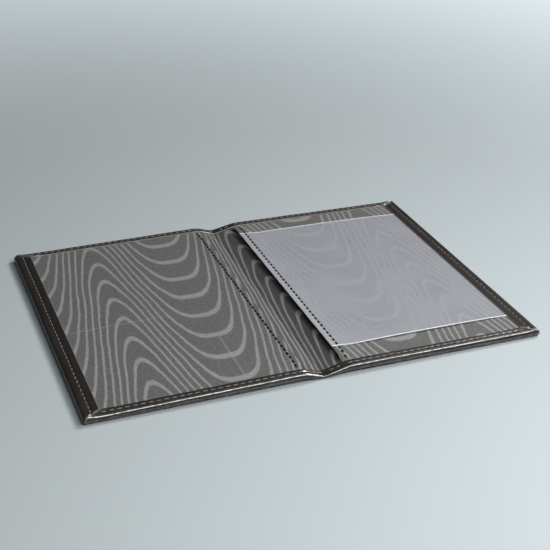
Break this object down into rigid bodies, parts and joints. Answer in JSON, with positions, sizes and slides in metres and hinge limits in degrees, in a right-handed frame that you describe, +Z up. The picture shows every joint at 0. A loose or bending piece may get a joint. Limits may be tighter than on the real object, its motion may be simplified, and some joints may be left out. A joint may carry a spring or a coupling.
{
  "type": "order pad holder",
  "caption": "Book-style order pad holder lying open: stiff padded panels, soft folding spine, turned stitched hems, lining pockets and a clear window sheet.",
  "frame": {"origin": "on the table under the middle of the spine, half way between front and back", "axes": "+X across the open holder towards the panel with the clear window, +Y from front to back, +Z up"},
  "size_m": [0.249, 0.1778, 0.0053],
  "materials": {
    "leatherette": "glossy fine grain",
    "padding_foam": "matte foam",
    "greyboard": "matte board",
    "lining_cloth": "watered pattern, satin",
    "clear_vinyl": "clear, faintly frosted",
    "dark_thread": "thread",
    "hem_thread": "thread"
  },
  "bodies": {
    "right_panel": {"right_cover": "leatherette", "right_padding": "padding_foam", "right_board": "greyboard", "right_lining": "lining_cloth", "right_pocket_panel": "lining_cloth", "vinyl_window": "clear_vinyl", "right_pocket_stitching": "dark_thread", "right_side_stitching": "hem_thread", "right_end_stitching": "hem_thread"},
    "spine_right": {"spine_right_cover": "leatherette", "spine_right_lining": "lining_cloth", "spine_right_stitching": "hem_thread"},
    "spine_left": {"spine_left_cover": "leatherette", "spine_left_lining": "lining_cloth", "spine_left_stitching": "hem_thread"},
    "left_panel": {"left_cover": "leatherette", "left_padding": "padding_foam", "left_board": "greyboard", "left_lining": "lining_cloth", "left_pocket_panel": "lining_cloth", "left_pocket_stitching": "dark_thread", "left_side_stitching": "hem_thread", "left_end_stitching": "hem_thread"}
  },
  "joints": [
    {"name": "right_ridge_fold", "type": "hinge", "parent": "right_panel", "child": "spine_right", "pos_m": [0.01023, 0, 0.0039], "axis": [0, 1, 0], "range_deg": [-42.7, 42.7]},
    {"name": "spine_fold", "type": "hinge", "parent": "spine_right", "child": "spine_left", "pos_m": [0, 0, 0.00085], "axis": [0, 1, 0], "range_deg": [-95.7, 95.7]},
    {"name": "left_ridge_fold", "type": "hinge", "parent": "spine_left", "child": "left_panel", "pos_m": [-0.01023, 0, 0.0039], "axis": [0, 1, 0], "range_deg": [-42.7, 42.7]}
  ],
  "couplings": [
    {"joint": "right_ridge_fold", "follows": "spine_fold", "ratio": 0.44603},
    {"joint": "left_ridge_fold", "follows": "spine_fold", "ratio": 0.44603}
  ]
}
